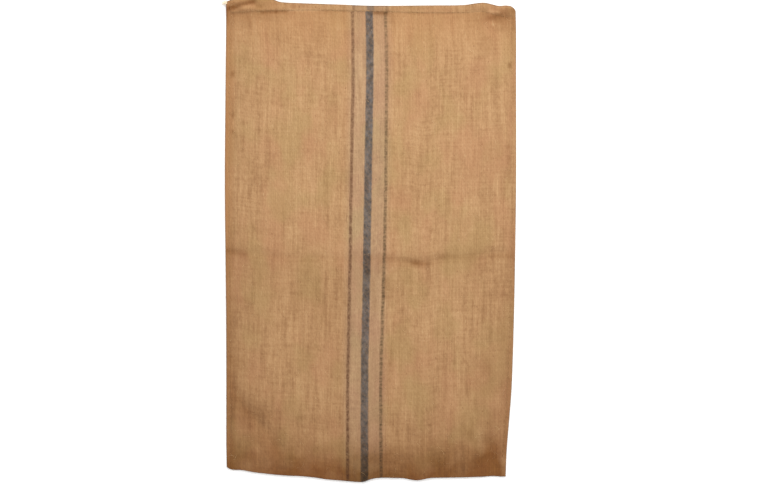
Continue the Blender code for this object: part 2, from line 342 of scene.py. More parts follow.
FRONT, BACK, INSIDE_FRONT, INSIDE_BACK = 0.0, 1.0, 2.0, 3.0  # third coordinate of the weave


def settings():
    return bpy.context.scene.jute_sack


# Shape of the sack


def smooth(share):
    """0 below 0 and 1 above 1, with an easy curve between."""
    share = np.clip(share, 0.0, 1.0)
    return share * share * (3.0 - 2.0 * share)


def fullness(share):
    """Rises fast from a pressed edge and then levels out."""
    return 1.0 - (1.0 - np.clip(share, 0.0, 1.0)) ** LEVELLING


def curve(rows, key, value, at):
    """The named value at places along a table, on a curve through its rows."""
    places = np.array([getattr(row, key) for row in rows])
    values = np.array([getattr(row, value) for row in rows])
    slopes = np.empty(len(rows))
    slopes[1:-1] = (values[2:] - values[:-2]) / (places[2:] - places[:-2])
    slopes[0] = (values[1] - values[0]) / (places[1] - places[0])
    slopes[-1] = (values[-1] - values[-2]) / (places[-1] - places[-2])
    at = np.clip(at, places[0], places[-1])
    index = np.clip(np.searchsorted(places, at, side="right") - 1, 0, len(rows) - 2)
    step = places[index + 1] - places[index]
    share = (at - places[index]) / step
    square, cube = share**2, share**3
    return (
        values[index] * (2 * cube - 3 * square + 1)
        + values[index + 1] * (3 * square - 2 * cube)
        + slopes[index] * step * (cube - 2 * square + share)
        + slopes[index + 1] * step * (cube - square)
    )


def crossing(rows, across):
    return curve(rows, "across", "up", across)


def side(up, name):
    return curve(SIDES, "up", name, up)


def from_sides(across, up):
    """Distance from the nearer side."""
    return np.minimum(across - side(up, "left"), side(up, "right") - across)


def grain(up):
    return curve(GRAIN, "up", "across", up)


def distance_to(line, across, up):
    """Distance from points to the line of a fold or a mark."""
    run = (line.to_across - line.from_across, line.to_up - line.from_up)
    offset = (across - line.from_across, up - line.from_up)
    along = (offset[0] * run[0] + offset[1] * run[1]) / (run[0] ** 2 + run[1] ** 2)
    along = np.clip(along, 0.0, 1.0)
    return np.hypot(offset[0] - along * run[0], offset[1] - along * run[1])


def dip(distance, width):
    return np.exp(-((distance / width) ** 2))


def waves(rows, across, up):
    """Height of long waves that run across and up at once."""
    return sum(
        wave.height
        * np.sin(2.0 * math.pi * (across / wave.across_length + up / wave.up_length) + wave.start)
        for wave in rows
    )


def crumple_waves():
    """Short low waves in all directions, which keep the cloth from lying smooth."""
    rng = np.random.default_rng(CRUMPLE_SEED)
    rows = []
    for _ in range(CRUMPLES):
        length = rng.uniform(*CRUMPLE_LENGTHS)
        turn = rng.uniform(0.0, math.pi)
        across_length = length / max(abs(math.cos(turn)), LEAST_SHARE)
        across_length *= math.copysign(1.0, math.cos(turn))
        up_length = length / max(math.sin(turn), LEAST_SHARE)
        start = rng.uniform(0.0, 2.0 * math.pi)
        rows.append(Wave(across_length, up_length, start, CRUMPLE_SLOPE * length))
    return tuple(rows)


def gathered(across):
    """1 where the hem is gathered at a corner of the mouth and 0 where it lies taut between them."""
    return smooth((-GATHER_LEFT - across) / GATHER_EASE) + smooth((across - GATHER_RIGHT) / GATHER_EASE)


def hem_layer(across, up):
    """Height of the second layer of cloth in the hem. Its cut edge is less sharp where it is gathered."""
    foot = crossing(HEM_FOOT, across)
    ragged = sum(row.far * np.sin(across / row.length + row.start) for row in RAGGED_HEM)
    step = HEM_STEP + GATHERED_STEP * gathered(across)
    return settings().sizes.hem_extra / MM * smooth((up - foot - STEP_START - ragged) / step)


def pressed_in(across, up):
    """How deep the creases and folds press the front in."""
    crease = up - crossing(MIDDLE_CREASE, across)
    deep = curve(CREASE_DEPTHS, "across", "deep", across) * dip(crease, CREASE_WIDTH)
    for fold in FOLDS + CREASES:
        deep = deep + fold.deep * dip(distance_to(fold, across, up), fold.width)
    return deep


def soil(across, up):
    """How far grime and painted shade darken the cloth, from 0 to about 1. Below 0 it is painted highlight.
    """
    dark = curve(SOIL_AND_SHADE, "above", "dark", up - DARKENING_FOOT)
    fainter = FAINTER_SHARE + (1.0 - FAINTER_SHARE) * smooth((FAINTER_ABOVE - up) / FAINTER_EASE)
    corner_spared = smooth((up - CORNER_TOP) / CORNER_EASE)
    for band in SIDE_SOIL_AND_SHADE:
        shade = band.dark * dip(across - side(up, band.side), band.width)
        dark = dark + shade * (fainter if band.fainter_above else 1.0) * (corner_spared if band.clean_corner else 1.0)
    # Marks add painted shade and painted highlights, and stains.
    for mark in SHADE_AND_STAIN_MARKS:
        dark = dark + mark.shade * dip(distance_to(mark, across, up), mark.width)
    # Painted shadow just under the hem's cut edge, and painted shade in the middle crease.
    for trace, line in ((HEM_FOOT_SHADOW, HEM_FOOT), (CREASE_SHADE, MIDDLE_CREASE)):
        dark = dark + trace.dark * dip(up - crossing(line, across) - trace.above, trace.width)
    return dark


def pucker(groove, distance, along):
    """How deep a groove is at a distance from its line. It is deepest once to each stitch along it."""
    pitch = settings().sewing.pitch / MM
    stitch = 1.0 - PUCKER + PUCKER * np.cos(2.0 * math.pi * along / pitch)
    return groove.deep * stitch * dip(distance, groove.width)


def stitch_groove(across, up):
    """The twine pulls the cloth in along the side seams, and along the hem where it lies taut."""
    seam = pucker(SEAM_GROOVE, from_sides(across, up) - SEAM_WIDTH, up)
    from_foot = up - crossing(HEM_FOOT, across) - settings().sewing.hem_inset / MM
    return seam + pucker(HEM_GROOVE, from_foot, across) * (1.0 - SLACK * gathered(across))


def back_inside(across, up):
    return settings().sizes.cloth / MM + hem_layer(across, up)


def front_height(across, up):
    """Height of the front of the cloth, before the hem adds its second layer."""
    sizes = settings().sizes
    crown = sizes.crown / MM + waves(WAVES, across, up) + waves(crumple_waves(), across, up)
    from_side = from_sides(across, up)
    from_fold = up - crossing(FOLD_EDGE, across)
    full = fullness((from_side - SEAM_WIDTH) / SIDE_RISE) * fullness(from_fold / FOLD_RISE)
    edge = SEAM_THICKNESS + (FOLD_THICKNESS - SEAM_THICKNESS) * smooth(from_side / SIDE_RISE)
    height = edge + (crown - edge) * full
    height -= pressed_in(across, up) * smooth(from_side / (2.0 * SEAM_WIDTH))
    height -= stitch_groove(across, up)
    lowest = back_inside(across, up) + LEAST_GAP + sizes.cloth / MM
    return np.where(from_side > SEAM_WIDTH, np.maximum(height, lowest), height)


def even(start, end, cell):
    """Places between start and end, about a cell apart, without the two ends."""
    count = max(int(round(abs(end - start) / cell)) - 1, 0)
    return [start + (end - start) * (i + 1) / (count + 1) for i in range(count)]


def spread(start, end, shares):
    return start[..., None] + (end - start)[..., None] * shares


def plan():
    """The mesh lines' crossings seen from above: two arrays, across and up, by row and column."""
    left, right = side(0.0, "left"), side(0.0, "right")
    middle = even(left + EDGE_COLUMNS[-1], right - EDGE_COLUMNS[-1], CELL)
    width = right - left - 2.0 * EDGE_COLUMNS[-1]
    shares = (np.array(middle) - left - EDGE_COLUMNS[-1]) / width
    levels = np.array(row_places(0.0))

    starts, ends = side(levels, "left"), side(levels, "right")
    from_left = starts[:, None] + np.array(EDGE_COLUMNS)
    from_right = ends[:, None] - np.array(EDGE_COLUMNS[::-1])
    across = np.hstack([from_left, spread(from_left[:, -1], from_right[:, 0], shares), from_right])

    columns = [np.array(row_places(place)) for place in across[len(levels) // 2]]
    up = np.stack(columns, axis=1)
    return across, up


def row_places(across):
    """Places up the sack at a place across it, from the fold to the mouth, the same count at each."""
    fold = crossing(FOLD_EDGE, across) + np.array(FOLD_ROWS)
    foot = crossing(HEM_FOOT, across) + np.array(FOOT_ROWS)
    mouth = crossing(MOUTH_EDGE, across) + np.array(MOUTH_ROWS)
    body = fold[-1] + (foot[0] - fold[-1]) * np.linspace(0.0, 1.0, BODY_ROWS + 2)[1:-1]
    band = np.linspace(foot[-1], mouth[0], BAND_ROWS + 2)[1:-1]
    return [*fold, *body, *foot, *band, *mouth]


# Cloth of the sack


class ShellMesh:
    """Collects points with their places in the weave, and the faces between them."""

    def __init__(self):
        self.points, self.weave, self.faces = [], [], []

    def add(self, across, up, height, from_fold, layer):
        self.points.append((across * MM, up * MM, height * MM))
        self.weave.append((float(across - grain(up)) * MM, from_fold * MM, layer))
        return len(self.points) - 1

    def strip(self, one, other):
        """Faces between two lines of points of the same length."""
        for i in range(len(one) - 1):
            self.faces.append((one[i], one[i + 1], other[i + 1], other[i]))

    def layer(self, grid, facing_up):
        for row in range(len(grid) - 1):
            lower, upper = grid[row], grid[row + 1]
            if facing_up:
                self.strip(lower, upper)
            else:
                self.strip(upper, lower)


def round_points(shell, top, bottom, outline, weave_top, weave_bottom):
    """Points round an edge, from one of the upper layer to one of the lower, bulging to the outline."""
    made = []
    for step in range(1, ROUND_STEPS + 1):
        turn = math.pi * step / (ROUND_STEPS + 1)
        reach, share = math.sin(turn), (1.0 - math.cos(turn)) / 2.0
        across = top[0] + (outline[0] - top[0]) * reach
        up = top[1] + (outline[1] - top[1]) * reach
        height = top[2] + (bottom[2] - top[2]) * share
        from_fold = weave_top[0] + (weave_bottom[0] - weave_top[0]) * share
        layer = weave_top[1] + (weave_bottom[1] - weave_top[1]) * share
        made.append(shell.add(across, up, height, from_fold, layer))
    return made


def make_shell():
    """The cloth as one closed shell: the outside of front and back, their inside, and the edges."""
    across, up = plan()
    rows, columns = across.shape
    last_row, last_column = rows - 1, columns - 1
    seen_across, seen_up = across.copy(), up.copy()
    seen_across[:, 0] += ROUNDING
    seen_across[:, -1] -= ROUNDING
    seen_up[0] += ROUNDING
    seen_up[-1] -= ROUNDING

    hem = hem_layer(seen_across, seen_up)
    top = front_height(seen_across, seen_up) + hem
    under = top - hem - settings().sizes.cloth / MM
    over = back_inside(seen_across, seen_up)
    from_edge = np.minimum(across - across[:, :1], across[:, -1:] - across)
    from_edge = np.minimum(from_edge, up - up[:1])
    lift = EDGE_LIFT * (1.0 - smooth(from_edge / SEAM_WIDTH))
    top = top - EDGE_LIFT * (1.0 - smooth(from_edge / EDGE_ROUND))
    from_fold = seen_up - crossing(FOLD_EDGE, seen_across)

    shell = ShellMesh()

    def spot(row, column, height):
        return seen_across[row, column], seen_up[row, column], height

    def sheet(height, layer, row_list, column_list):
        return [
            [shell.add(*spot(r, c, height[r, c]), from_fold[r, c], layer) for c in column_list]
            for r in row_list
        ]

    all_rows, all_columns = range(rows), range(columns)
    front = sheet(top, FRONT, all_rows, all_columns)
    back = sheet(lift, BACK, all_rows, all_columns)
    shell.layer(front, True)
    shell.layer(back, False)

    # Rounded outer edge: up the left side from the fold's corner, and so on round to the mouth.
    border = [(row, 0) for row in range(last_row, 0, -1)]
    border += [(0, column) for column in all_columns]
    border += [(row, last_column) for row in range(1, rows)]
    chains = []
    for row, column in border:
        outline = (across[row, column], up[row, column])
        if row == last_row:
            outline = (across[row, column], seen_up[row, column])
        middle = round_points(
            shell,
            spot(row, column, top[row, column]),
            spot(row, column, lift[row, column]),
            outline,
            (from_fold[row, column], FRONT),
            (from_fold[row, column], BACK),
        )
        chains.append([front[row][column], *middle, back[row][column]])
    for one, other in zip(chains, chains[1:]):
        shell.strip(one, other)

    # Inside. Its first row and its outer columns are where the two layers meet.
    inner_columns = list(range(INNER_COLUMN, columns - INNER_COLUMN))
    hem_start = last_row - len(FOOT_ROWS) - BAND_ROWS - len(MOUTH_ROWS)
    inner_rows = list(range(INNER_ROW, hem_start, INNER_STRIDE)) + list(range(hem_start, rows))
    front_in = sheet(under, INSIDE_FRONT, inner_rows, inner_columns)
    back_in = sheet(over, INSIDE_BACK, inner_rows, inner_columns)
    for place, row in enumerate(inner_rows):
        ends = range(len(inner_columns)) if place == 0 else (0, len(inner_columns) - 1)
        for end in ends:
            height = top[row, inner_columns[end]] / 2.0
            joint = front_in[place][end]
            shell.points[joint] = (*shell.points[joint][:2], height * MM)
            back_in[place][end] = joint
    shell.layer(front_in, False)
    shell.layer(back_in, True)

    # Rounded edge of the mouth, front and back.
    def mouth_chains(outer, outer_height, outer_layer, inner, inner_height, inner_layer):
        made = []
        for place, column in enumerate(inner_columns):
            at_joint = place in (0, len(inner_columns) - 1)
            inside = shell.points[inner[-1][place]][2] / MM if at_joint else inner_height[-1, column]
            middle = round_points(
                shell,
                spot(last_row, column, outer_height[-1, column]),
                spot(last_row, column, inside),
                (across[-1, column], up[-1, column]),
                (from_fold[-1, column], outer_layer),
                (from_fold[-1, column], inner_layer),
            )
            made.append([outer[-1][column], *middle, inner[-1][place]])
        return made

    front_mouth = mouth_chains(front, top, FRONT, front_in, under, INSIDE_FRONT)
    back_mouth = mouth_chains(back, lift, BACK, back_in, over, INSIDE_BACK)
    for one, other in zip(front_mouth, front_mouth[1:]):
        shell.strip(other, one)
    for one, other in zip(back_mouth, back_mouth[1:]):
        shell.strip(one, other)

    # Closed ends of the two side seams at the mouth.
    for turned in (False, True):
        seam = list(range(INNER_COLUMN + 1))
        end_front, end_back, end_border = front_mouth[0], back_mouth[0], chains[0]
        if turned:
            seam = [last_column - column for column in seam]
            end_front, end_back, end_border = front_mouth[-1], back_mouth[-1], chains[-1]
        ring = [front[-1][column] for column in seam] + end_front[1:] + end_back[-2::-1]
        ring += [back[-1][column] for column in reversed(seam[:-1])] + end_border[-2:0:-1]
        shell.faces.append(tuple(reversed(ring)) if turned else tuple(ring))
    return shell


def new_object(name, data):
    """An object for a mesh, a light or a camera, linked to the scene."""
    made = bpy.data.objects.new(name, data)
    bpy.context.collection.objects.link(made)
    return made


def write_point_values(mesh, name, kind, values):
    attribute = mesh.attributes.new(name, kind, "POINT")
    field = "vector" if kind == "FLOAT_VECTOR" else "value"
    attribute.data.foreach_set(field, np.asarray(values, np.float32).ravel())


def make_cloth():
    """Makes the cloth's object, with its place in the weave and its grime and painted shade at each point."""
    shell = make_shell()
    mesh = bpy.data.meshes.new("sack_cloth")
    mesh.from_pydata(shell.points, [], shell.faces)
    mesh.validate()
    places = np.array(shell.points) / MM
    weave = np.array(shell.weave)
    outside = weave[:, 2] < (BACK + INSIDE_FRONT) / 2.0
    hem = hem_layer(places[:, 0], places[:, 1]) * MM / settings().sizes.hem_extra
    write_point_values(mesh, "weave", "FLOAT_VECTOR", weave)
    write_point_values(mesh, "reverse", "FLOAT", np.where(outside, hem, 1.0))
    write_point_values(mesh, "soil", "FLOAT", soil(places[:, 0], places[:, 1]))
    mesh.shade_smooth()
    mesh.materials.append(jute_twill())
    return new_object("sack_cloth", mesh)


# Materials

# The weave, in millimetres.
PAIR, PICK = 2.6, 3.6  # a pair of warp yarns across, and a pick of weft along
COARSER = 1.33  # both are drawn a third coarser than in the real cloth, so that they show
FLOAT_REPEAT = 3.0  # picks from one float of a pair to its next
OFFSET_SHARES = (1.0, 1.7, 0.3)  # how a pattern's offset moves it across, along and between the layers
LAYER_SCALE = 2.7  # gives each layer of the cloth a noise of its own

# Noise in cells a width across the cloth and a length along it, in millimetres, from low to high.
Mottle = namedtuple("Mottle", "width length detail offset low high")
COLUMN_DRIFT = Mottle(14, 60, 1, 5, 0, 2.4)
ROW_DRIFT = Mottle(60, 16, 1, 9, 0, 2.4)
STRAY_FIBRES = Mottle(0.9, 6, 2, 2, 0, 0.4)
STREAKS = table(
    Mottle,
    (0.9, 7, 2, 27, -0.14, 0.14),
    (3.2, 46, 2, 0, -0.12, 0.12),
    (6, 80, 2, 3, -0.29, 0.29),
    (15, 150, 2, 7, -0.31, 0.31),
    (46, 4.2, 2, 11, -0.21, 0.21),
    (9, 11, 2, 17, -0.25, 0.25),
    (60, 100, 2, 23, -0.225, 0.225),
)
STRIPE_DRIFT = Mottle(40, 30, 1, 71, -0.0011, 0.0011)
STRIPE_RAGGED = Mottle(2.2, 5, 1, 79, -0.0012, 0.0012)

# Patches: one value outside them, where such a noise is below the start, and one inside, past the end.
Patch = namedtuple("Patch", "width length detail offset start end outside inside")
RUDDY = Patch(62, 130, 2, 31, 0.45, 0.69, 0, 0.38)
STRAW = Patch(70, 105, 2, 41, 0.45, 0.69, 0, 0.38)
BARK = Patch(4.2, 9, 1, 53, 0.72, 0.79, 0, 0.5)
SLUBS = Patch(3.4, 16, 1, 61, 0.71, 0.79, 0, 0.35)
WORN_DYE = Patch(5, 9, 3, 83, 0.34, 0.66, 1, 0)
DYE_BEADS = Patch(12, 4.6, 1, 89, 0.36, 0.64, 1, 0)
THIN_SLATE = Patch(10, 13, 2, 101, 0.3, 0.7, 0, 1)
# Makes the grime and painted shade uneven over the cloth.
UNEVEN_DARKENING = Patch(50, 40, 3, 97, 0.3, 0.7, 0.88, 1.12)

# Values that change with a place: from a start to an end, in metres for places, and from low to high.
Change = namedtuple("Change", "start end low high")
FLOAT_EDGE = Change(0.27, 0.39, 1.0, 0.0)  # the warp's share, by how far the turn is from a float
DEEP_GAP = Change(0.05, 0.55, 1.0, 0.0)  # the gaps' share, by the yarns' height
RED_SIDE = Change(-0.336, -0.306, 0.8, 0.0)
RED_MOUTH = Change(0.94, 1.10, 0.0, 0.45)
SPARED_HEM = Change(-0.24, -0.14, 0.0, -0.8)
BLED_DYE = Change(0.03, 0.06, 0.1, 0.0)
FADED_DYE = Change(0.45, 1.0, 1.0, 0.84)

# How much the weave's hollows (painted shade between the yarns), the weft and the hem's reverse darken the
# cloth.
GAP_SHADE, WEFT_SHADE, REVERSE_SHADE = 0.22, 0.05, 0.05

# The dyed stripes, in metres.
Stripe = namedtuple("Stripe", "centre width dye cover wear beading fades")
MIDDLE_CENTRE = 0.0004
EDGE_IN, EDGE_OUT = 0.0024, 0.0020  # an edge softens from so far inside to so far outside
RIGHT_SWING, SWING_TURN, SWING_START = 0.0016, 7.0, -4.5  # the right stripe sways along the cloth
WEFT_CLEAR = 0.12  # share of the dye that is missing where the weft is on top
REVERSE_CLEAR = 0.36  # share that is missing on the reverse

# Tints that a user would not change.
RED_JUTE, BARK_BROWN, SLUB_PALE = "#a97a4e", "#744a2c", "#c8a87c"
SHADED_WEFT, SHADED_GAP = "#8c8478", "#a89888"
TWINE_DARK, TWINE_PALE = "#9c744c", "#c09a6e"
FIBRE_DARK, FIBRE_PALE = "#a87f52", "#dcbc8c"
BLEACHED_DARK, BLEACHED_PALE = "#ead6b2", "#fbf3e2"
BOARD_WHITE, ROOM_WHITE = "#fbfbfb", "#ffffff"

# Settings that several nodes share.
EASED = {"interpolation_type": "SMOOTHSTEP"}
BLENDED = {"data_type": "RGBA"}
MULTIPLIED = {"data_type": "RGBA", "blend_type": "MULTIPLY"}

Place = namedtuple("Place", "point across along")
Weave = namedtuple("Weave", "warp_on_top gap height")


def linear(code):
    """A linear colour from an sRGB hex value such as #c89a6c."""
    parts = [int(code[i : i + 2], 16) / 255.0 for i in (1, 3, 5)]
    return tuple(c / 12.92 if c <= 0.04045 else ((c + 0.055) / 1.055) ** 2.4 for c in parts) + (1.0,)


def set_inputs(node, inputs):
    """Sets or links a node's inputs, by name or in the order shown. A node gives its first output."""
    if not isinstance(inputs, dict):
        shown = [place for place, socket in enumerate(node.inputs) if socket.enabled]
        inputs = dict(zip(shown, inputs))
    for name, value in inputs.items():
        if isinstance(value, bpy.types.Node):
            value = next(socket for socket in value.outputs if socket.enabled)
        if isinstance(value, bpy.types.NodeSocket):
            node.id_data.links.new(value, node.inputs[name])
        else:
            node.inputs[name].default_value = value


def add_node(tree, kind, inputs=(), **values):
    """Adds a node with its settings and its inputs."""
    node = tree.nodes.new(kind)
    for name, value in values.items():
        setattr(node, name, value)
    set_inputs(node, inputs)
    return node


def set_stops(ramp, *stops):
    """Sets a ramp's colours, from pairs of a position and a hex colour."""
    elements = ramp.color_ramp.elements
    while len(elements) < len(stops):
        elements.new(0.5)
    for element, (position, code) in zip(elements, stops):
        element.position, element.color = position, linear(code)


def new_material(name):
    """A material and its tree, with the shader that a new tree starts with."""
    material = bpy.data.materials.new(name)
    material.use_nodes = True
    return material, material.node_tree, material.node_tree.nodes["Principled BSDF"]


def weave_noise(tree, place, row):
    """Noise for a mottle or a patch. It is laid out in the weave, so it follows the yarns."""
    location = tuple(row.offset * share for share in OFFSET_SHARES)
    scale = (1.0 / (row.width * MM), 1.0 / (row.length * MM), LAYER_SCALE)
    inputs = {"Vector": place.point, "Location": location, "Scale": scale}
    laid = add_node(tree, "ShaderNodeMapping", inputs)
    return add_node(tree, "ShaderNodeTexNoise", {"Vector": laid, "Scale": 1.0, "Detail": row.detail})


def mottle(tree, place, row):
    """A value that swings from low to high over the cloth."""
    noise = weave_noise(tree, place, row)
    return add_node(tree, "ShaderNodeMath", (noise, row.high - row.low, row.low), operation="MULTIPLY_ADD")


def patches(tree, place, row):
    """A value that differs in patches of the cloth."""
    noise = weave_noise(tree, place, row)
    inputs = (noise, row.start, row.end, row.outside, row.inside)
    return add_node(tree, "ShaderNodeMapRange", inputs, **EASED)


def twill(tree, place):
    """Pairs of warp yarns that float over two picks and dive under the third, a step on at each pair."""
    counts = []
    for distance, yarn, drift in ((place.across, PAIR, COLUMN_DRIFT), (place.along, PICK, ROW_DRIFT)):
        count = add_node(tree, "ShaderNodeMath", (distance, yarn * MM * COARSER), operation="DIVIDE")
        inputs = (count, mottle(tree, place, drift))
        counts.append(add_node(tree, "ShaderNodeMath", inputs, operation="ADD"))
    column, row = counts

    turn = add_node(tree, "ShaderNodeMath", (column,), operation="FLOOR")
    for operation, *values in (
        ("ADD", row),
        ("DIVIDE", FLOAT_REPEAT),
        ("FRACT",),
        ("SUBTRACT", 0.5),
        ("ABSOLUTE",),
    ):
        turn = add_node(tree, "ShaderNodeMath", (turn, *values), operation=operation)
    warp_on_top = add_node(tree, "ShaderNodeMapRange", (turn, *FLOAT_EDGE), **EASED)

    heights = []
    for count, share in ((column, 0.5), (row, -0.5)):
        bulge = count
        for operation, *values in (("MULTIPLY", math.pi), ("SINE",), ("ABSOLUTE",)):
            bulge = add_node(tree, "ShaderNodeMath", (bulge, *values), operation=operation)
        shown = add_node(tree, "ShaderNodeMath", (warp_on_top, share, 0.5), operation="MULTIPLY_ADD")
        heights.append(add_node(tree, "ShaderNodeMath", (bulge, shown), operation="MULTIPLY"))
    height = add_node(tree, "ShaderNodeMath", heights, operation="MAXIMUM")
    gap = add_node(tree, "ShaderNodeMapRange", (height, *DEEP_GAP), **EASED)
    inputs = (height, mottle(tree, place, STRAY_FIBRES))
    return Weave(warp_on_top, gap, add_node(tree, "ShaderNodeMath", inputs, operation="ADD"))


def undyed_jute(tree, place, reverse):
    """Colour of the yarns before stripes and grime: streaks, patches of hue, specks of bark and slubs."""
    colours = settings().colours
    tone = 0.5
    for streak in STREAKS:
        tone = add_node(tree, "ShaderNodeMath", (tone, mottle(tree, place, streak)), operation="ADD")
    colour = add_node(tree, "ShaderNodeValToRGB", (tone,))
    set_stops(colour, (0.08, colours.shade), (0.5, colours.jute), (0.92, colours.light))

    for patch, code in ((RUDDY, colours.ruddy), (STRAW, colours.straw)):
        inputs = (patches(tree, place, patch), colour, linear(code))
        colour = add_node(tree, "ShaderNodeMix", inputs, **BLENDED)

    # The left side and the mouth have reddened, but for most of the hem's reverse.
    beside = add_node(tree, "ShaderNodeMapRange", (place.across, *RED_SIDE), **EASED)
    above = add_node(tree, "ShaderNodeMapRange", (place.along, *RED_MOUTH), **EASED)
    spared = add_node(tree, "ShaderNodeMapRange", (place.across, *SPARED_HEM), **EASED)
    kept = add_node(tree, "ShaderNodeMath", (reverse, spared, 1.0), operation="MULTIPLY_ADD")
    above = add_node(tree, "ShaderNodeMath", (above, kept), operation="MULTIPLY")
    reddened = add_node(tree, "ShaderNodeMath", (beside, above), operation="MAXIMUM")
    colour = add_node(tree, "ShaderNodeMix", (reddened, colour, linear(RED_JUTE)), **BLENDED)

    for patch, code in ((BARK, BARK_BROWN), (SLUBS, SLUB_PALE)):
        inputs = (patches(tree, place, patch), colour, linear(code))
        colour = add_node(tree, "ShaderNodeMix", inputs, **BLENDED)
    return colour


def dye_stripes(tree, place, colour, weave, reverse):
    """Lays the three dyed stripes over the cloth's colour.

    They are warp yarns, so the weft crosses them undyed, and covers more of them on the reverse. The
    hem turns the cloth over, so they lie a little aside there. Some dye has bled from the middle one.
    """
    colours, stripes = settings().colours, settings().stripes
    from_middle = add_node(tree, "ShaderNodeMath", (place.across,), operation="ABSOLUTE")
    bled = add_node(tree, "ShaderNodeMapRange", (from_middle, *BLED_DYE), **EASED)
    colour = add_node(tree, "ShaderNodeMix", (bled, colour, linear(colours.bleed)), **BLENDED)

    shift = add_node(tree, "ShaderNodeMath", (reverse, stripes.reverse_shift), operation="MULTIPLY")
    aside = add_node(tree, "ShaderNodeMath", (place.across, shift), operation="SUBTRACT")
    inputs = (aside, mottle(tree, place, STRIPE_DRIFT))
    aside = add_node(tree, "ShaderNodeMath", inputs, operation="ADD")
    ragged = mottle(tree, place, STRIPE_RAGGED)
    inputs = (place.along, SWING_TURN, SWING_START)
    swing = add_node(tree, "ShaderNodeMath", inputs, operation="MULTIPLY_ADD")
    swing = add_node(tree, "ShaderNodeMath", (swing,), operation="COSINE")
    inputs = (swing, RIGHT_SWING, stripes.right_gap)
    right = add_node(tree, "ShaderNodeMath", inputs, operation="MULTIPLY_ADD")

    inputs = (weave.warp_on_top, WEFT_CLEAR, 1.0 - WEFT_CLEAR)
    dyed = add_node(tree, "ShaderNodeMath", inputs, operation="MULTIPLY_ADD")
    on_front = add_node(tree, "ShaderNodeMath", (reverse, -REVERSE_CLEAR, 1.0), operation="MULTIPLY_ADD")
    worn, beads = patches(tree, place, WORN_DYE), patches(tree, place, DYE_BEADS)
    faded = add_node(tree, "ShaderNodeMapRange", (place.along, *FADED_DYE), **EASED)
    inputs = (patches(tree, place, THIN_SLATE), linear(colours.slate), linear(colours.pale_slate))
    slate = add_node(tree, "ShaderNodeMix", inputs, **BLENDED)
    umber, olive = linear(colours.umber), linear(colours.olive)
    for stripe in table(
        Stripe,
        (MIDDLE_CENTRE, stripes.middle_width, slate, 0.98, 0.06, 0.09, False),
        (-stripes.left_gap, stripes.thin_width, umber, 0.94, 0.34, 0.18, True),
        (right, stripes.thin_width, olive, 0.99, 0.26, 0.36, True),
    ):
        off = add_node(tree, "ShaderNodeMath", (aside, stripe.centre), operation="SUBTRACT")
        off = add_node(tree, "ShaderNodeMath", (off,), operation="ABSOLUTE")
        off = add_node(tree, "ShaderNodeMath", (off, ragged), operation="ADD")
        edge = Change(stripe.width / 2.0 - EDGE_IN, stripe.width / 2.0 + EDGE_OUT, stripe.cover, 0.0)
        share = add_node(tree, "ShaderNodeMapRange", (off, *edge), **EASED)
        kept = add_node(tree, "ShaderNodeMath", (worn, -stripe.wear, 1.0), operation="MULTIPLY_ADD")
        kept = add_node(tree, "ShaderNodeMath", (beads, -stripe.beading, kept), operation="MULTIPLY_ADD")
        for part in (dyed, kept, on_front) + ((faded,) if stripe.fades else ()):
            share = add_node(tree, "ShaderNodeMath", (share, part), operation="MULTIPLY")
        colour = add_node(tree, "ShaderNodeMix", (share, colour, stripe.dye), **BLENDED)
    return colour


def soil_and_shade_cloth(tree, place, colour, reverse):
    """Grime and painted shade darken the cloth, and painted highlights lighten it. The hem's reverse is a
    little duller too.
    """
    colours = settings().colours
    dirt_and_shade = add_node(tree, "ShaderNodeAttribute", attribute_name="soil").outputs["Fac"]
    for part in (patches(tree, place, UNEVEN_DARKENING), colours.soiling_and_shading):
        dirt_and_shade = add_node(tree, "ShaderNodeMath", (dirt_and_shade, part), operation="MULTIPLY")
    dirt_and_shade = add_node(tree, "ShaderNodeMath", (reverse, REVERSE_SHADE, dirt_and_shade), operation="MULTIPLY_ADD")
    # Below 0 the value is painted highlight, a mix towards the palest yarn.
    lighter_and_highlight = add_node(tree, "ShaderNodeMath", (dirt_and_shade, 0.0), operation="MINIMUM")
    lighter_and_highlight = add_node(tree, "ShaderNodeMath", (lighter_and_highlight, -1.0), operation="MULTIPLY")
    # Above 0 it is grime and painted shade, which multiply the cloth by their tint.
    dirt_and_shade = add_node(tree, "ShaderNodeMath", (dirt_and_shade, 0.0), operation="MAXIMUM")
    colour = add_node(tree, "ShaderNodeMix", (dirt_and_shade, colour, linear(colours.grime_and_shade_tint)), **MULTIPLIED)
    return add_node(tree, "ShaderNodeMix", (lighter_and_highlight, colour, linear(colours.light)), **BLENDED)


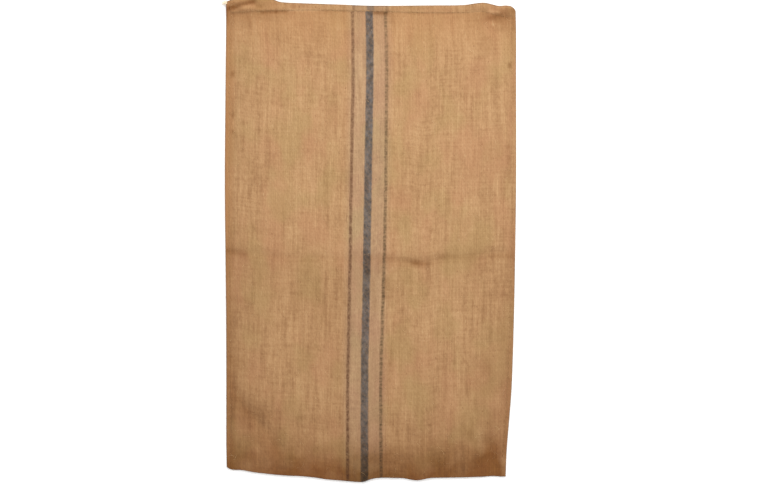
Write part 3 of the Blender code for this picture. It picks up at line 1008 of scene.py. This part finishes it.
def jute_twill():
    """Undyed jute twill: a coarse, hairy fibre, so it has no gloss but a faint sheen at a low angle."""
    material, tree, shader = new_material("jute_twill")
    point = add_node(tree, "ShaderNodeAttribute", attribute_name="weave").outputs["Vector"]
    parts = add_node(tree, "ShaderNodeSeparateXYZ", (point,)).outputs
    place = Place(point, parts["X"], parts["Y"])
    reverse = add_node(tree, "ShaderNodeAttribute", attribute_name="reverse").outputs["Fac"]
    weave = twill(tree, place)
    colour = dye_stripes(tree, place, undyed_jute(tree, place, reverse), weave, reverse)
    weft_on_top = add_node(tree, "ShaderNodeMath", (1.0, weave.warp_on_top), operation="SUBTRACT")
    # The weft is a little darker where it shows, and the gaps between the yarns get painted shade.
    for shown, shade, code in (
        (weft_on_top, WEFT_SHADE, SHADED_WEFT),
        (weave.gap, GAP_SHADE, SHADED_GAP),
    ):
        share = add_node(tree, "ShaderNodeMath", (shown, shade), operation="MULTIPLY")
        colour = add_node(tree, "ShaderNodeMix", (share, colour, linear(code)), **MULTIPLIED)
    inputs = {"Strength": 0.5, "Distance": 0.8 * MM, "Height": weave.height}
    finish = {
        "Base Color": soil_and_shade_cloth(tree, place, colour, reverse),
        "Normal": add_node(tree, "ShaderNodeBump", inputs),
        "Roughness": 0.94,
        "IOR": 1.53,
        "Specular IOR Level": 0.25,
        "Sheen Weight": 0.08,
        "Sheen Roughness": 0.5,
    }
    set_inputs(shader, finish)
    return material


def jute_twine():
    """Spun jute twine: two strands twisted together, so its light runs in slanting bands."""
    material, tree, shader = new_material("jute_twine")
    place = add_node(tree, "ShaderNodeUVMap", uv_map="turns")
    bands = {"wave_type": "BANDS", "bands_direction": "DIAGONAL"}
    inputs = {"Vector": place, "Scale": 1.6, "Distortion": 0.6}  # a strand each 3.3 mm of a stitch
    strands = add_node(tree, "ShaderNodeTexWave", inputs, **bands).outputs["Fac"]
    where = add_node(tree, "ShaderNodeTexCoord").outputs["Object"]
    inputs = {"Vector": where, "Scale": 0.7 / MM, "Detail": 2.0}  # a change of tint each 1.4 mm
    grainy = add_node(tree, "ShaderNodeTexNoise", inputs)
    share = add_node(tree, "ShaderNodeMath", (strands, grainy), operation="MULTIPLY")
    colour = add_node(tree, "ShaderNodeValToRGB", (share,))
    set_stops(colour, (0.0, TWINE_DARK), (0.6, TWINE_PALE))
    # The stitches take the grime and painted shade of the cloth where they lie.
    dirt_and_shade = add_node(tree, "ShaderNodeAttribute", attribute_name="soil").outputs["Fac"]
    colour = add_node(tree, "ShaderNodeMix", (dirt_and_shade, colour, linear(settings().colours.grime_and_shade_tint)), **MULTIPLIED)
    bump = add_node(tree, "ShaderNodeBump", {"Strength": 0.6, "Distance": 0.5 * MM, "Height": strands})
    finish = {"Base Color": colour, "Normal": bump, "Roughness": 0.88, "Specular IOR Level": 0.3}
    set_inputs(shader, finish)
    return material


def loose_fibre(name="loose_fibre", dark=FIBRE_DARK, pale=FIBRE_PALE):
    """Single jute fibres: paler than the spun yarn and slightly glossy. Frayed ends are paler still."""
    material, tree, shader = new_material(name)
    where = add_node(tree, "ShaderNodeTexCoord").outputs["Object"]
    inputs = {"Vector": where, "Scale": 0.06 / MM, "Detail": 1.0}  # a change of tint each 17 mm
    tint = add_node(tree, "ShaderNodeTexNoise", inputs)
    colour = add_node(tree, "ShaderNodeValToRGB", (tint,))
    set_stops(colour, (0.35, dark), (0.65, pale))
    set_inputs(shader, {"Base Color": colour, "Roughness": 0.6, "Specular IOR Level": 0.35})
    return material


def pale_board():
    """Matt white board under the sack: even and without gloss."""
    material, _, shader = new_material("pale_board")
    finish = {"Base Color": linear(BOARD_WHITE), "Roughness": 0.95, "Specular IOR Level": 0.1}
    set_inputs(shader, finish)
    return material


# Sewing and fibres, repeated by Geometry Nodes

# Heights of the lines of stitches, in millimetres: over the front, and from the board on the back.
SIDE_OVER, SIDE_UNDER = 0.15, 0.85
HEM_OVER, HEM_UNDER = 0.1, 0.8
LINE_STEP = 4.0  # between the points of a line of stitches
SIDE_LINE = (-536.0, 512.0)  # where the lines along the sides start and end
HEM_LINE = (-318.0, 322.0)  # where those along the hem do
SIDE_CORNER = 10.0  # the side lines stay so far from the fold
HEM_TWINE = 0.85  # share of the twine's diameter that shows in the hem
SIDE_SEED, HEM_SEED, FUZZ_SEED, END_SEED = 3, 8, 12, 21
FIBRE_LENGTH = 14.0

# The frayed end of the twine at the corner of the mouth, in millimetres and degrees.
END_ROOT = (-334.0, 552.0, 6.0)
END_SPREAD = 0.7  # how far from the root its fibres start
END_FIBRES, END_SIDES, END_POINTS = 60, 4, 6
END_TURNS, END_LENGTHS = (95.0, 195.0), (7.0, 16.0)
END_RISES, END_CURLS, END_ARCH = (-1.5, 3.0), (-4.0, 4.0), 2.4
END_ROOT_RADIUS, END_TIP_RADIUS = 0.36, 0.14

FLOOR_CORNERS = ((-1.0, -1.0), (1.0, -1.0), (1.0, 1.0), (-1.0, 1.0))


def new_tree(name, **inputs):
    """A Geometry Nodes group with one geometry in and out, and the named inputs."""
    tree = bpy.data.node_groups.new(name, "GeometryNodeTree")
    for way in ("INPUT", "OUTPUT"):
        tree.interface.new_socket("Geometry", in_out=way, socket_type="NodeSocketGeometry")
    for label, kind in inputs.items():
        tree.interface.new_socket(label, in_out="INPUT", socket_type=f"NodeSocket{kind}")
    return tree, tree.nodes.new("NodeGroupInput").outputs, tree.nodes.new("NodeGroupOutput")


def grow(source, tree, values, name):
    """Runs a tree on an object, and keeps the result as a plain mesh in a new object."""
    modifier = source.modifiers.new("grow", "NODES")
    modifier.node_group = tree
    for item in tree.interface.items_tree:
        if item.in_out == "INPUT" and item.name in values:
            modifier[item.identifier] = values[item.name]
    source.update_tag()
    graph = bpy.context.evaluated_depsgraph_get()
    mesh = bpy.data.meshes.new_from_object(source.evaluated_get(graph))
    mesh.name = name
    source.modifiers.remove(modifier)
    if not mesh.polygons:
        raise RuntimeError(f"{name} came out empty")
    return new_object(name, mesh)


def stitch_tree():
    """A row of stitches along each line of the incoming mesh."""
    tree, entry, result = new_tree(
        "stitches", Pitch="Float", Length="Float", Diameter="Float", Seed="Int", Twine="Material"
    )
    seed, vectors = entry["Seed"], {"data_type": "FLOAT_VECTOR"}
    path = add_node(tree, "GeometryNodeMeshToCurve", (entry["Geometry"],))
    inputs = {"Curve": path, "Length": entry["Pitch"]}
    steps = add_node(tree, "GeometryNodeResampleCurve", inputs, mode="LENGTH")
    tangent = add_node(tree, "GeometryNodeInputTangent")
    turned = add_node(tree, "FunctionNodeAlignRotationToVector", {"Vector": tangent}, axis="X")
    inputs = {"Min": (0.0, -0.03, -0.10), "Max": (0.0, 0.03, 0.10), "Seed": seed}
    askew = add_node(tree, "FunctionNodeRandomValue", inputs, **vectors)
    askew = add_node(tree, "FunctionNodeEulerToRotation", (askew,))
    rotation = add_node(tree, "FunctionNodeRotateRotation", {"Rotation": turned, "Rotate By": askew})

    ball = add_node(tree, "GeometryNodeMeshUVSphere", {"Segments": 12, "Rings": 8, "Radius": 0.5}).outputs
    inputs = {"Geometry": ball["Mesh"], "Name": "turns", "Value": ball["UV Map"]}
    kept = {"data_type": "FLOAT2", "domain": "CORNER"}
    named = add_node(tree, "GeometryNodeStoreNamedAttribute", inputs, **kept)
    inputs = {"X": entry["Diameter"], "Y": entry["Diameter"], "Z": entry["Length"]}
    size = add_node(tree, "ShaderNodeCombineXYZ", inputs)
    stitch = add_node(tree, "GeometryNodeTransform", {"Geometry": named, "Scale": size})
    lying = (0.0, math.pi / 2.0, 0.0)
    stitch = add_node(tree, "GeometryNodeTransform", {"Geometry": stitch, "Rotation": lying})

    inputs = {"Min": (0.85, 0.85, 0.85), "Max": (1.12, 1.15, 1.1), "Seed": seed}
    stretch = add_node(tree, "FunctionNodeRandomValue", inputs, **vectors)
    inputs = {"Points": steps, "Instance": stitch, "Rotation": rotation, "Scale": stretch}
    row = add_node(tree, "GeometryNodeInstanceOnPoints", inputs)
    real = add_node(tree, "GeometryNodeRealizeInstances", (row,))
    smoothed = add_node(tree, "GeometryNodeSetShadeSmooth", {"Geometry": real})
    inputs = {"Geometry": smoothed, "Material": entry["Twine"]}
    set_inputs(result, {"Geometry": add_node(tree, "GeometryNodeSetMaterial", inputs)})
    return tree


def fibre_tree():
    """Loose fibres scattered over the upper side of the incoming mesh."""
    tree, entry, result = new_tree(
        "loose_fibres", Density="Float", Length="Float", Diameter="Float", Seed="Int", Fibre="Material"
    )
    seed, vectors = entry["Seed"], {"data_type": "FLOAT_VECTOR"}
    weave = add_node(tree, "GeometryNodeInputNamedAttribute", {"Name": "weave"}, **vectors)
    layer = add_node(tree, "ShaderNodeSeparateXYZ", (weave,)).outputs["Z"]
    on_front = add_node(tree, "FunctionNodeCompare", (layer, FRONT + 0.01), operation="LESS_THAN")
    inputs = {
        "Mesh": entry["Geometry"],
        "Selection": on_front,
        "Density": entry["Density"],
        "Seed": seed,
    }
    points = add_node(tree, "GeometryNodeDistributePointsOnFaces", inputs).outputs

    # One fibre is a bend of unit length, stretched to the length and given a three-sided section.
    inputs = {
        "Resolution": 5,
        "Start": (0.0, 0.0, -0.02),
        "Middle": (0.45, 0.22, 0.22),
        "End": (1.0, -0.1, 0.05),
    }
    bend = add_node(tree, "GeometryNodeCurveQuadraticBezier", inputs)
    bend = add_node(tree, "GeometryNodeTransform", {"Geometry": bend, "Scale": entry["Length"]})
    radius = add_node(tree, "ShaderNodeMath", (entry["Diameter"], 0.5), operation="MULTIPLY")
    section = add_node(tree, "GeometryNodeCurvePrimitiveCircle", {"Resolution": 3, "Radius": radius})
    inputs = {"Curve": bend, "Profile Curve": section, "Fill Caps": True}
    fibre = add_node(tree, "GeometryNodeCurveToMesh", inputs)

    inputs = {"Min": (-0.15, -0.2, 0.0), "Max": (0.15, 0.0, 2.0 * math.pi), "Seed": seed}
    spin = add_node(tree, "FunctionNodeRandomValue", inputs, **vectors)
    spin = add_node(tree, "FunctionNodeEulerToRotation", (spin,))
    inputs = {"Rotation": points["Rotation"], "Rotate By": spin}
    rotation = add_node(tree, "FunctionNodeRotateRotation", inputs, rotation_space="LOCAL")
    size = add_node(tree, "FunctionNodeRandomValue", {2: 0.35, 3: 1.15, "Seed": seed}, data_type="FLOAT")
    inputs = {"Points": points["Points"], "Instance": fibre, "Rotation": rotation, "Scale": size}
    fuzz = add_node(tree, "GeometryNodeInstanceOnPoints", inputs)
    real = add_node(tree, "GeometryNodeRealizeInstances", (fuzz,))
    inputs = {"Geometry": real, "Material": entry["Fibre"]}
    set_inputs(result, {"Geometry": add_node(tree, "GeometryNodeSetMaterial", inputs)})
    return tree


def line_object(name, lines):
    """Lines of points, in millimetres, as the edges of a mesh."""
    mesh = bpy.data.meshes.new(name)
    points, edges = [], []
    for line in lines:
        start = len(points)
        points += [tuple(value * MM for value in point) for point in line]
        edges += [(i, i + 1) for i in range(start, len(points) - 1)]
    mesh.from_pydata(points, edges, [])
    places = np.array(points) / MM
    # Each point keeps the grime and painted shade of the cloth at its place.
    write_point_values(mesh, "soil", "FLOAT", soil(places[:, 0], places[:, 1]))
    return new_object(name, mesh)


def tube(points, radii, sides):
    """Points and faces of a tapering strand through the given points."""
    verts, faces = [], []
    points = [Vector(point) for point in points]
    for i, (point, radius) in enumerate(zip(points, radii)):
        ahead = (points[min(i + 1, len(points) - 1)] - points[max(i - 1, 0)]).normalized()
        out = ahead.cross(Vector((0.0, 0.0, 1.0))).normalized()
        over = out.cross(ahead)
        for k in range(sides):
            turn = 2.0 * math.pi * k / sides
            verts.append(point + (out * math.cos(turn) + over * math.sin(turn)) * radius)
    for i in range(len(points) - 1):
        for k in range(sides):
            j = (k + 1) % sides
            low, high = i * sides, (i + 1) * sides
            faces.append((low + k, low + j, high + j, high + k))
    faces.append(tuple(range(sides - 1, -1, -1)))
    faces.append(tuple(range(len(verts) - sides, len(verts))))
    return verts, faces


def frayed_end():
    """The frayed end of the twine that closes the left side, at the corner of the mouth."""
    rng = np.random.default_rng(END_SEED)
    verts, faces = [], []
    for _ in range(END_FIBRES):
        turn = math.radians(rng.uniform(*END_TURNS))
        length = rng.uniform(*END_LENGTHS)
        rise, curl = rng.uniform(*END_RISES), rng.uniform(*END_CURLS)
        line = []
        for share in np.linspace(0.0, 1.0, END_POINTS):
            start = np.array(END_ROOT) + rng.uniform(-END_SPREAD, END_SPREAD, 3) * (1 - share)
            forward = np.array([math.cos(turn), math.sin(turn), 0.0]) * length * share
            aside = np.array([-math.sin(turn), math.cos(turn), 0.0]) * curl * share**2
            lift = np.array([0.0, 0.0, rise * math.sin(share * END_ARCH)])
            line.append((start + forward + aside + lift) * MM)
        radii = np.linspace(END_ROOT_RADIUS, END_TIP_RADIUS, len(line)) * MM
        strand, sides = tube(line, radii, END_SIDES)
        faces += [tuple(index + len(verts) for index in face) for face in sides]
        verts += strand
    mesh = bpy.data.meshes.new("twine_ends")
    mesh.from_pydata(verts, [], faces)
    mesh.shade_smooth()
    mesh.materials.append(loose_fibre("bleached_fibre", BLEACHED_DARK, BLEACHED_PALE))
    return new_object("twine_ends", mesh)


def dress(piece):
    """What each piece of the sack has in common."""
    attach(piece, BODY)
    return piece


def sew(name, lines, diameter, seed):
    """A row of twine stitches along each line."""
    sewing = settings().sewing
    holder = line_object("stitch_lines", lines)
    values = {"Pitch": sewing.pitch, "Length": sewing.length, "Diameter": diameter}
    dress(grow(holder, stitch_tree(), {**values, "Seed": seed, "Twine": jute_twine()}, name))
    bpy.data.objects.remove(holder, do_unlink=True)


# Settings that a user would change


def span(name, default, description):
    """A setting that holds a length."""
    return FloatProperty(name=name, description=description, default=default, unit="LENGTH")


def tint(name, default, description):
    """A setting that holds a colour as an sRGB hex value."""
    return StringProperty(name=name, description=description, default=default)


class SackSizes(bpy.types.PropertyGroup):
    crown: span("Crown", 0.016, "Height of the front where the sack stands fullest")
    cloth: span("Cloth", 0.002, "Thickness of the twill")
    hem_extra: span("Hem", 0.0018, "Thickness that the hem's second layer adds")
    flat_width: span("Cut width", 0.7, "Width of the cloth before sewing")
    flat_length: span("Cut length", 2.28, "Length of the cloth before it is folded and hemmed")


class SackStripes(bpy.types.PropertyGroup):
    middle_width: span("Middle stripe", 0.0180, "Width of the middle stripe")
    thin_width: span("Thin stripes", 0.0078, "Width of each thin stripe")
    left_gap: span("Left gap", 0.0385, "From the middle stripe's centre to the left stripe's")
    right_gap: span("Right gap", 0.0400, "From the middle stripe's centre to the right stripe's")
    reverse_shift: span(
        "Shift on the reverse",
        0.0035,
        "How far aside the stripes lie where the hem shows the cloth's reverse",
    )


class SackSewing(bpy.types.PropertyGroup):
    diameter: span("Twine", 0.0018, "Diameter of the sewing twine")
    pitch: span("Pitch", 0.0115, "From one stitch to the next")
    length: span("Stitch", 0.0085, "Length of a stitch that shows")
    hem_inset: span("Hem inset", 0.0023, "From the hem's cut edge to its row of stitches")
    fibres: IntProperty(
        name="Loose fibres", description="Loose fibres on each square metre", default=1500, min=0
    )
    fibre_width: span("Fibre", 0.0002, "Diameter of a loose fibre")


class SackColours(bpy.types.PropertyGroup):
    jute: tint("Jute", "#aa835b", "Main colour of the jute")
    # Painted highlights mix the cloth towards this tint too.
    light: tint("Light yarn", "#bd976d", "Palest yarns")
    shade: tint("Dark yarn", "#8d6642", "Darkest yarns")
    ruddy: tint("Ruddy", "#ab7a58", "Tint of the ruddier fibre")
    straw: tint("Straw", "#a08555", "Tint of the straw-like fibre")
    slate: tint("Middle stripe", "#423d3a", "Dyed yarn of the middle stripe")
    pale_slate: tint("Worn middle stripe", "#605a57", "Where its dye is thin")
    umber: tint("Left stripe", "#5c3a25", "Dyed yarn of the left stripe")
    olive: tint("Right stripe", "#5f4a31", "Dyed yarn of the right stripe")
    bleed: tint("Bled dye", "#959e9c", "Tint round the middle stripe")
    # It also tints the painted shade and painted shadow.
    grime_and_shade_tint: tint("Grimy", "#ae9166", "What the darkest grime multiplies the cloth by")
    # It scales the painted shade as well as the grime.
    soiling_and_shading: FloatProperty(
        name="Grime",
        description="How strongly handling has darkened the cloth",
        default=1.0,
        min=0.0,
        max=1.0,
    )


class SackStage(bpy.types.PropertyGroup):
    key_power: FloatProperty(
        name="Key light", description="Power of the large soft light", default=75.0, unit="POWER"
    )
    fill: FloatProperty(
        name="Fill", description="Brightness of the room around the sack", default=1.02, min=0.0
    )
    centre: FloatVectorProperty(
        name="View centre",
        description="Point of the sack at the middle of the view",
        default=(0.0315, -0.0047, 0.004),
        subtype="TRANSLATION",
    )
    view_width: span("View width", 1.7894, "Width that the view covers")
    height: span("Camera height", 3.2, "Height of the camera over the sack")
    key_long: span("Key length", 2.6, "Longer side of the large soft light")
    key_short: span("Key width", 1.6, "Shorter side of the large soft light")
    key_place: FloatVectorProperty(
        name="Key place",
        description="Where the large soft light hangs, turned towards the sack",
        default=(0.7, 2.3, 2.3),
        subtype="TRANSLATION",
    )
    floor_reach: span("Floor", 6.0, "From the sack to each edge of the floor")


class SackSettings(bpy.types.PropertyGroup):
    sizes: PointerProperty(type=SackSizes)
    stripes: PointerProperty(type=SackStripes)
    sewing: PointerProperty(type=SackSewing)
    colours: PointerProperty(type=SackColours)
    stage: PointerProperty(type=SackStage)


# Operators, one for each piece or group of pieces


class MakeCloth(bpy.types.Operator):
    """Make the folded and hemmed cloth of the sack"""

    bl_idname = "sack.make_cloth"
    bl_label = "Cloth"

    def execute(self, context):
        cloth = dress(make_cloth())
        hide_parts(NODE)
        return {"FINISHED"}


class SewSides(bpy.types.Operator):
    """Sew both side edges with a row of twine stitches on the front and on the back"""

    bl_idname = "sack.sew_sides"
    bl_label = "Side seams"

    def execute(self, context):
        lines = []
        ups = np.arange(*SIDE_LINE, LINE_STEP)
        for name, inward in (("left", 1.0), ("right", -1.0)):
            across = side(ups, name) + inward * SEAM_WIDTH
            places = np.maximum(ups, crossing(FOLD_EDGE, across) + SIDE_CORNER)
            lines.append(list(zip(across, places, front_height(across, places) + SIDE_OVER)))
            lines.append([(a, u, SIDE_UNDER) for a, u in zip(across, places)])
        sew("side_stitches", lines, settings().sewing.diameter, SIDE_SEED)
        return {"FINISHED"}


class SewHem(bpy.types.Operator):
    """Sew the hem down with a row of twine stitches on the front and on the back"""

    bl_idname = "sack.sew_hem"
    bl_label = "Hem"

    def execute(self, context):
        sewing = settings().sewing
        across = np.arange(*HEM_LINE, LINE_STEP)
        ups = crossing(HEM_FOOT, across) + sewing.hem_inset / MM
        heights = front_height(across, ups) + hem_layer(across, ups) + HEM_OVER
        lines = [list(zip(across, ups, heights)), [(a, u, HEM_UNDER) for a, u in zip(across, ups)]]
        sew("hem_stitches", lines, sewing.diameter * HEM_TWINE, HEM_SEED)
        return {"FINISHED"}


class AddFibres(bpy.types.Operator):
    """Scatter loose fibres over the cloth and leave the ends of the seam twine at the mouth"""

    bl_idname = "sack.add_fibres"
    bl_label = "Fibres and twine ends"

    def execute(self, context):
        sewing = settings().sewing
        values = {
            "Density": float(sewing.fibres),
            "Length": FIBRE_LENGTH * MM,
            "Diameter": sewing.fibre_width,
            "Seed": FUZZ_SEED,
            "Fibre": loose_fibre(),
        }
        fuzz = dress(grow(bpy.data.objects["sack_cloth"], fibre_tree(), values, "jute_fuzz"))
        for vertex in fuzz.data.vertices:  # those past an edge lie down on the board
            vertex.co.z = max(vertex.co.z, sewing.fibre_width)
        dress(frayed_end())
        return {"FINISHED"}


class SetStage(bpy.types.Operator):
    """Lay a pale floor and place the camera and the soft lights"""

    bl_idname = "sack.set_stage"
    bl_label = "Stage"

    def execute(self, context):
        stage = settings().stage
        scene = context.scene
        mesh = bpy.data.meshes.new("floor")
        corners = [(x * stage.floor_reach, y * stage.floor_reach, 0.0) for x, y in FLOOR_CORNERS]
        mesh.from_pydata(corners, [], [(0, 1, 2, 3)])
        mesh.materials.append(pale_board())
        floor = new_object("floor", mesh)

        lens = bpy.data.cameras.new("camera")
        lens.lens = lens.sensor_width * stage.height / stage.view_width
        scene.camera = new_object("camera", lens)
        scene.camera.location = Vector(stage.centre) + Vector((0.0, 0.0, stage.height))

        lamp = bpy.data.lights.new("key", "AREA")
        lamp.shape, lamp.size, lamp.size_y = "RECTANGLE", stage.key_long, stage.key_short
        lamp.energy = stage.key_power
        key = new_object("key", lamp)
        key.location = stage.key_place
        key.rotation_euler = (-key.location).to_track_quat("-Z", "Y").to_euler()

        scene.world = bpy.data.worlds.new("room")
        scene.world.use_nodes = True
        background = scene.world.node_tree.nodes["Background"]
        set_inputs(background, {"Color": linear(ROOM_WHITE), "Strength": stage.fill})
        scene.view_settings.view_transform = "Standard"
        scene.view_settings.look = "None"
        return {"FINISHED"}


OPERATORS = (MakeCloth, SewSides, SewHem, AddFibres, SetStage)
GROUPS = (SackSizes, SackStripes, SackSewing, SackColours, SackStage, SackSettings)


class SackPanel(bpy.types.Panel):
    """Lists the sack's settings and the operators that build it"""

    bl_idname = "VIEW3D_PT_jute_sack"
    bl_label = "Jute Sack"
    bl_space_type = "VIEW_3D"
    bl_region_type = "UI"
    bl_category = "Sack"

    def draw(self, context):
        for group in SackSettings.__annotations__:
            box = self.layout.box()
            values = getattr(settings(), group)
            for name in type(values).__annotations__:
                box.prop(values, name)
        for operator in OPERATORS:
            self.layout.operator(operator.bl_idname)


def register():
    for item in (*GROUPS, *OPERATORS, SackPanel):
        bpy.utils.register_class(item)
    bpy.types.Scene.jute_sack = PointerProperty(type=SackSettings)


def unregister():
    del bpy.types.Scene.jute_sack
    for item in reversed((*GROUPS, *OPERATORS, SackPanel)):
        bpy.utils.unregister_class(item)


def main():
    register()
    bpy.ops.sack.make_cloth()
    bpy.ops.sack.sew_sides()
    bpy.ops.sack.sew_hem()
    bpy.ops.sack.add_fibres()
    bpy.ops.sack.set_stage()


if __name__ == "__main__":
    main()
